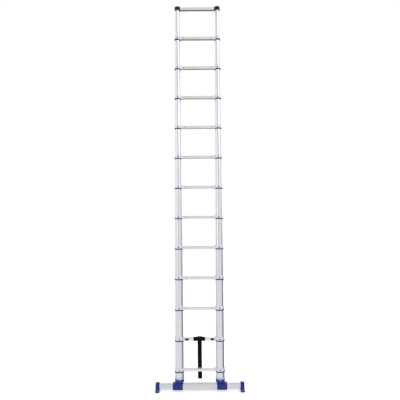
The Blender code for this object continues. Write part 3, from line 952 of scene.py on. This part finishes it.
def stitch(bm, start, end):
    """One visible length of thread, as a thin bar with tapered ends."""
    direction = (end - start).normalized()
    side = direction.orthogonal().normalized()
    other = direction.cross(side)
    rings = []
    for t, scale in ((0.0, 0.35), (0.2, 1.0), (0.8, 1.0), (1.0, 0.35)):
        centre = start.lerp(end, t)
        ring = []
        for i in range(6):
            offset = side * math.cos(math.pi * i / 3) + other * math.sin(math.pi * i / 3)
            ring.append(tuple(centre + offset * THREAD_RADIUS * scale))
        rings.append(ring)
    loft(rings, bm=bm)


def stitch_run(bm, start, end):
    start, end = Vector(start), Vector(end)
    count = max(1, int((end - start).length / STITCH_PITCH))
    for i in range(count):
        stitch(bm, start.lerp(end, i / count), start.lerp(end, (i + STITCH_SHARE) / count))


def add_stitching(path):
    """A box of stitches through the tail just below the rung, and a hem at its lower end."""
    bm = bmesh.new()
    half = STRAP_WIDTH / 2 - 0.004
    back = max(y for y, _ in path) + WEBBING / 2 + 0.0001
    end_y, end_z = path[-1]
    hem_y = end_y + WEBBING / 2 + 0.0006
    for z in (end_z + 0.006, end_z + 0.0085):
        stitch_run(bm, (-half + 0.002, hem_y, z), (half + 0.002, hem_y, z))
    top, bottom = 0.002, -0.016
    a, b, c, d = (-half, back, top), (half, back, top), (half, back, bottom), (-half, back, bottom)
    for start, end in ((a, b), (b, c), (c, d), (d, a), (a, c), (b, d)):
        stitch_run(bm, start, end)
    return add_piece("strap_stitching", bm, "thread", "base", STRAP_RUNG)


def add_cuff():
    """Padded sleeve round the middle of the rung, with bound edges and sewn channels."""
    low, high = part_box("strap_cuff")
    width = high.x - low.x
    columns = 76
    total = loop_length(CUFF_GAP)
    outer, inner = [], []
    for i in range(columns + 1):
        t = i / columns - 0.5
        x = (high.x + low.x) / 2 + width * t
        edge = min(t + 0.5, 0.5 - t) * width
        puff = CUFF_THICK - 0.0002 - 0.0012 * math.exp(-edge / 0.0007)
        for channel in CUFF_CHANNELS:
            puff -= 0.0011 * math.exp(-(((t - channel) / 0.012) ** 2))
        outer_ring, inner_ring = [], []
        for j in range(CUFF_AROUND):
            share = j / CUFF_AROUND
            ripple = 0.00012 * math.sin(18 * math.pi * share + 40 * t) * (1 - math.exp(-edge / 0.01))
            (y, z), normal = loop_point(share * total, CUFF_GAP)
            inner_ring.append((x, y, z))
            thick = puff + ripple
            outer_ring.append((x, y + normal[0] * thick, z + normal[1] * thick))
        outer.append(outer_ring)
        inner.append(inner_ring)
    bm = loft(outer + inner[::-1], closed=True)
    cuff = add_piece("cuff_sleeve", bm, "cuff", "base", STRAP_RUNG)
    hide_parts("strap_cuff")
    add_cuff_binding(low.x, high.x)


def add_cuff_binding(left, right):
    """Rolled tape sewn over each edge of the cuff."""
    bm = bmesh.new()
    for x, inward in ((left, 1), (right, -1)):
        rings = []
        for i in range(9):
            angle = math.pi * (i / 8) - math.pi / 2
            reach = 0.0055 if i in (0, 8) else 0.0
            lift = CUFF_GAP + CUFF_THICK / 2 + 0.00135 * math.sin(angle)
            at = x + inward * (0.0012 * (1 - math.cos(angle)) + reach)
            total = loop_length(lift)
            loop = [loop_point(j / CUFF_AROUND * total, lift)[0] for j in range(CUFF_AROUND)]
            rings.append(stand(loop, "X", at))
        loft(rings, closed=True, bm=bm)
    add_piece("cuff_binding", bm, "webbing", "base", STRAP_RUNG)


# Stabiliser


def add_bars():
    for name, node, wall, corner in (
        ("outer_bar", "stabiliser_bar", BAR_WALL, BAR_CORNER),
        ("middle_bar", "stabiliser_crossbar", CROSSBAR_WALL, CROSSBAR_CORNER),
    ):
        low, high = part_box(node)

        def outline(grow):
            depth, height = high.y - low.y + 2 * grow, high.z - low.z + 2 * grow
            centre = (0.0, (low.z + high.z) / 2)
            return rounded_rectangle(centre, depth, height, max(corner + grow, 0.0006))

        bar = add_piece(name, hollow_bar(outline, wall, high.x, BAR_EDGE), "bar", "base")
        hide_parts(node)


def gusset(x, outside):
    """Web from the block's front and back up to the underside of the socket's rim."""
    reach = (outside**2 - x**2) ** 0.5 - SOCKET_LIP
    foot = -BLOCK_HALF_DEPTH - 0.0004
    front = [(foot, GUSSET_LOW), (0.0, GUSSET_LOW), (0.0, GUSSET_HIGH), (-reach, GUSSET_HIGH)]
    webs = []
    for outline in (front, [(-y, z) for y, z in reversed(front)]):
        webs.append(loft([stand(outline, "X", x - GUSSET_HALF), stand(outline, "X", x + GUSSET_HALF)]))
    return united(*webs)


def bracket_mesh():
    """Saddle astride the bar with a flared round socket on top."""
    low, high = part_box("right_bracket")
    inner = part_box("stabiliser_crossbar")[1].x + FIT
    middle = (inner + high.x) / 2 - STILE_X
    width = high.x - inner
    half = BLOCK_HALF_DEPTH
    centre = (middle, (low.z + BLOCK_TOP) / 2)
    solid = slab(centre, width, BLOCK_TOP - low.z, 0.005, "Y", -half, half, 0.0025)
    bore = tube_radius(1) + FIT
    outside = bore + SOCKET_WALL
    flare = outside - SOCKET_LIP - SOCKET_NECK
    profile = [(0.024, BLOCK_TOP - 0.006), (SOCKET_NECK, BLOCK_TOP - 0.002)]
    for i in range(1, 9):
        t = i / 8
        profile.append((SOCKET_NECK + flare * t * t * (3 - 2 * t), BLOCK_TOP - 0.002 + 0.019 * t))
    profile += from_corner(outside, RIM_Z, ((12, 40), (6, 30), (0, 24), (0, 6), (6, 0)))
    solid = united(solid, turned(profile))
    for x in GUSSETS:
        solid = united(solid, gusset(x, outside))
    solid = carved(solid, turned([(bore, SOCKET_FLOOR), (bore, high.z + 0.01)]))
    bar_low, bar_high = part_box("stabiliser_bar")
    half_y = (bar_high.y - bar_low.y) / 2 + FIT
    ends = (middle - width, -half_y, -0.01), (middle + width, half_y, bar_high.z + FIT)
    solid = carved(solid, block(*ends))
    panels = []
    for start, end in ((-half - 0.002, -half + PANEL_DEPTH), (half - PANEL_DEPTH, half + 0.002)):
        panels.append(slab((middle, 0.0475), width - 0.022, 0.040, 0.004, "Y", start, end, 0.0004))
    solid = carved(solid, joined(panels))
    bolt_x, bolt_z = middle_of("right_bracket_bolt")
    boss = turned([(0.0105, -0.002), (0.0105, 0.0010), (0.0100, 0.0014)], 36)
    seat = (bolt_x - STILE_X, half - PANEL_DEPTH, bolt_z)
    solid = united(solid, turned_to(boss, (0, 1, 0), seat))
    hole = turned([(0.0043, -0.06), (0.0043, 0.06)], 36)
    return carved(solid, turned_to(hole, (0, 1, 0), (bolt_x - STILE_X, 0.0382, bolt_z)))


def rim_mesh():
    """Bushing round the tube on top of the socket, whose pale colour is a painted highlight along the
    socket's top.
    """
    bore = tube_radius(1) + FIT
    outside = bore + 0.0034
    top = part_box("right_bracket")[1].z
    outline = [(bore, RIM_Z + CLEAR), (outside, RIM_Z + CLEAR), (outside, top - RIM_CROWN)]
    outline += [(bore + 0.0004 + 0.0026 * (1 - a), top - RIM_CROWN * b) for a, b in quarter(4)]
    return lathed(outline + [(bore, top - 0.0004)])


def bolt_mesh(low, high):
    """Hexagon bolt with a chamfered head and a washer, facing +Y, its axis at the origin."""
    sides = 24
    apothem = (high.z - low.z) / 2
    radius = apothem / math.cos(math.pi / 6)
    seat, top = BOLT_SEAT, high.y

    def disc(size, y):
        return [(x, y, z) for x, z, _ in circle(size, 0.0, sides)]

    def head(reach, y):
        return stand(hexagon(apothem, sides, radius * reach), "Y", y)

    rings = [disc(BOLT_SHANK - 0.0008, low.y), disc(BOLT_SHANK, low.y + 0.0008), disc(BOLT_SHANK, seat)]
    rings += [disc(radius * 1.28, seat), disc(radius * 1.28, seat + 0.0011)]
    rings += [disc(radius * 1.22, seat + 0.0013), head(1.0, seat + 0.0013)]
    rings += [head(1.0, top - 0.0008), head(0.90, top)]
    rings += [disc(radius * 0.5, top), disc(radius * 0.44, top - 0.0003)]
    return loft(rings)


def add_bracket(side_name, side):
    place = (side * STILE_X, 0, 0)
    bracket = add_piece(f"{side_name}_saddle", mirrored(bracket_mesh(), side), "blue", "base", place)
    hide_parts(f"{side_name}_bracket")
    # The rim's pale plastic paints the highlight along the socket's top.
    add_piece(f"{side_name}_socket_rim", rim_mesh(), "pale", "base", place)
    front = tube_radius(1) + FIT + SOCKET_WALL - SOCKET_LIP
    place = (side * (STILE_X + 0.0005), -front, SOCKET_SCREW_Z)
    add_piece(f"{side_name}_socket_screw", screw_mesh(SOCKET_SCREW_RADIUS), "bright", "base", place)
    node = f"{side_name}_bracket_bolt"
    x, z = middle_of(node)
    bolt = add_piece(f"{side_name}_saddle_bolt", bolt_mesh(*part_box(node)), "steel", "base", (x, 0, z))
    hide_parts(node)


# Feet


def foot_outline(low, high):
    toe = (high.y - low.y) / 2
    front = [(-toe, low.z), (-toe, low.z + 0.0024), (-toe + 0.010, low.z + 0.0062)]
    front += [(-0.026, low.z + 0.0105), (-0.0225, low.z + 0.0160), (-0.0222, high.z)]
    radii = [0.0004, 0.0012, 0.004, 0.004, 0.004, 0.0045]
    return round_corners(front + [(-y, z) for y, z in reversed(front)], radii + radii[::-1], 4)


def foot_body(low, high):
    """End cap that spreads at the floor, with a recessed outer face and three ribs in it."""
    plain = foot_outline(low, high)
    middle = (low.z + high.z) / 2

    def outline(inset):
        scaled = []
        for y, z in plain:
            up = middle + (z - middle) * (1 - inset / 0.033) if z > low.z + 0.001 else z
            scaled.append((y * (1 - inset / 0.035), up))
        return scaled

    solid = eased(outline, "X", low.x, high.x, FOOT_EDGE)
    bar_low, bar_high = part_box("stabiliser_bar")
    near = (low.x - 0.01, bar_low.y - FIT, bar_low.z - FIT)
    solid = carved(solid, block(near, (bar_high.x + FIT, bar_high.y + FIT, bar_high.z + FIT)))
    face, centre = high.x, (0.0, FOOT_PANEL_Z)
    solid = carved(solid, slab(centre, 0.032, 0.044, 0.003, "X", face - 0.0018, face + 0.003, 0.0004))
    ribs = []
    for y in (-0.008, 0.0, 0.008):
        rib = (y, FOOT_PANEL_Z), 0.0022, 0.045, 0.0006, "X", face - 0.0022, face - 0.0002, 0.0004
        ribs.append(slab(*rib))
    solid = united(solid, joined(ribs))
    grooves = []
    for side in (-1, 1):
        for i in range(4):
            y = side * (0.031 + 0.0045 * i)
            start = (low.x - 0.01, y - 0.0008, low.z + 0.0030)
            grooves.append(block(start, (low.x + 0.006, y + 0.0008, 0.04)))
    return carved(solid, joined(grooves))


def foot_part(start, end):
    """The foot without what lies between two heights."""
    low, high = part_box("right_foot")
    away = block((low.x - 0.01, -0.1, start), (high.x + 0.01, 0.1, end))
    return carved(foot_body(low, high), away)


def sole_mesh(low, high):
    """Rubber pad with a bevelled edge and a tread cut across its underside."""
    centre = ((low.x + high.x) / 2, 0.0)
    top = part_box("right_foot")[0].z - FIT
    pad = slab(centre, high.x - low.x, high.y - low.y, 0.004, "Z", 0.0, top, 0.0012)
    pitch = (high.y - low.y - 0.012) / TREAD_CUTS
    cuts = []
    for i in range(TREAD_CUTS):
        y = low.y + 0.006 + pitch * (i + 0.5)
        cuts.append(block((low.x - 0.01, y - 0.0012, -0.01), (high.x + 0.01, y + 0.0012, 0.0022)))
    return carved(pad, joined(cuts))


def add_foot(side_name, side):
    """The cap on the bar's end, the instep under it that spreads at the floor, and the sole."""
    cap = mirrored(foot_part(-0.1, INSTEP_Z + CLEAR), side)
    cap = add_piece(f"{side_name}_foot_cap", cap, "blue", "base")
    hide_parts(f"{side_name}_foot")
    add_piece(f"{side_name}_instep", mirrored(foot_part(INSTEP_Z, 0.2), side), "instep", "base")
    sole = mirrored(sole_mesh(*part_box("right_foot_sole")), side)
    sole = add_piece(f"{side_name}_sole_pad", sole, "rubber", "base")
    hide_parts(f"{side_name}_foot_sole")


# Stage


def add_floor():
    floor = new_object("floor", turned([(6.0, -0.02), (6.0, 0.0)], 96))
    look = Look("floor_paint", 0.8)
    speckle = look.spread(look.noise(60.0, 4.0), 0.0, 1.0)
    look.set({
        "Base Color": look.blend(speckle, (0.92, 0.92, 0.92), (0.95, 0.95, 0.95)),
        "Emission Color": (1, 1, 1, 1),
        "Emission Strength": FLOOR_GLOW,
    })
    floor.data.materials.append(look.material)
    floor.visible_glossy = False


def add_world():
    """White to the camera; to everything else, a white studio with a few greyer patches."""
    world = bpy.data.worlds.new("studio")
    bpy.context.scene.world = world
    sky = Shader(world)
    sky.nodes.clear()
    direction = sky.node("TexCoord").outputs["Generated"]
    height = sky.node("SeparateXYZ", {"Vector": direction}).outputs["Z"]
    level = sky.node("VectorMath", {0: direction, 1: (1, 1, 0)}, operation="MULTIPLY").outputs["Vector"]
    bearing = sky.node("VectorMath", {0: level}, operation="NORMALIZE").outputs["Vector"]
    light = 1.0
    for azimuth, inner, outer, start_z, full_z, shade in WORLD_PATCHES:
        angle = math.radians(azimuth)
        facing = sky.dot(bearing, (math.sin(angle), -math.cos(angle), 0))
        near = sky.fade(facing, math.cos(math.radians(outer)), math.cos(math.radians(inner)))
        share = sky.math("MULTIPLY", near, sky.fade(height, start_z, full_z))
        change = sky.math("MULTIPLY", share, shade - 1.0)
        light = sky.math("MULTIPLY", light, sky.math("ADD", change, 1.0))
    light = sky.math("MULTIPLY", light, sky.fade(height, 0.45, 0.85, 1.0, ZENITH_SHADE))
    lit = sky.node("Background", {"Color": light, "Strength": WORLD_LIGHT}).outputs["Background"]
    shown = sky.node("Background", {"Color": (1, 1, 1, 1), "Strength": 1.0}).outputs["Background"]
    to_camera = sky.node("LightPath").outputs["Is Camera Ray"]
    switch = sky.node("MixShader", {"Fac": to_camera, 1: lit, 2: shown})
    sky.node("OutputWorld", {"Surface": switch.outputs["Shader"]})


def add_light(name, location, target, size, power):
    data = bpy.data.lights.new(name, "AREA")
    data.shape = "RECTANGLE"
    data.size, data.size_y = size
    data.energy = power
    light = linked(name, data)
    light.location = location
    aim = Vector(target) - Vector(location)
    light.rotation_euler = aim.to_track_quat("-Z", "Y").to_euler()
    light.visible_camera = False


def add_camera():
    data = bpy.data.cameras.new("camera")
    data.lens = LENS
    data.sensor_width = 36.0
    camera = linked("camera", data)
    camera.location = EYE
    upright = Matrix.Rotation(math.pi / 2 + PITCH, 4, "X")
    camera.rotation_euler = (upright @ Matrix.Rotation(-ROLL, 4, "Z")).to_euler()
    bpy.context.scene.camera = camera


def build():
    for section in range(1, LAST + 1):
        add_section(section)
    add_cuff()
    add_strap()
    add_bars()
    for side_name, side in SIDES.items():
        add_button(side_name)
        add_bracket(side_name, side)
        add_foot(side_name, side)


def light_stage():
    bpy.context.scene.view_settings.view_transform = "Standard"
    add_floor()
    add_world()
    add_light("key", (2.6, -3.0, 4.4), (0, 0, 1.6), (1.5, 2.8), 38)
    add_light("fill", (-3.2, -2.6, 2.4), (0, 0, 1.4), (2.2, 3.0), 15)
    add_camera()


build()
light_stage()
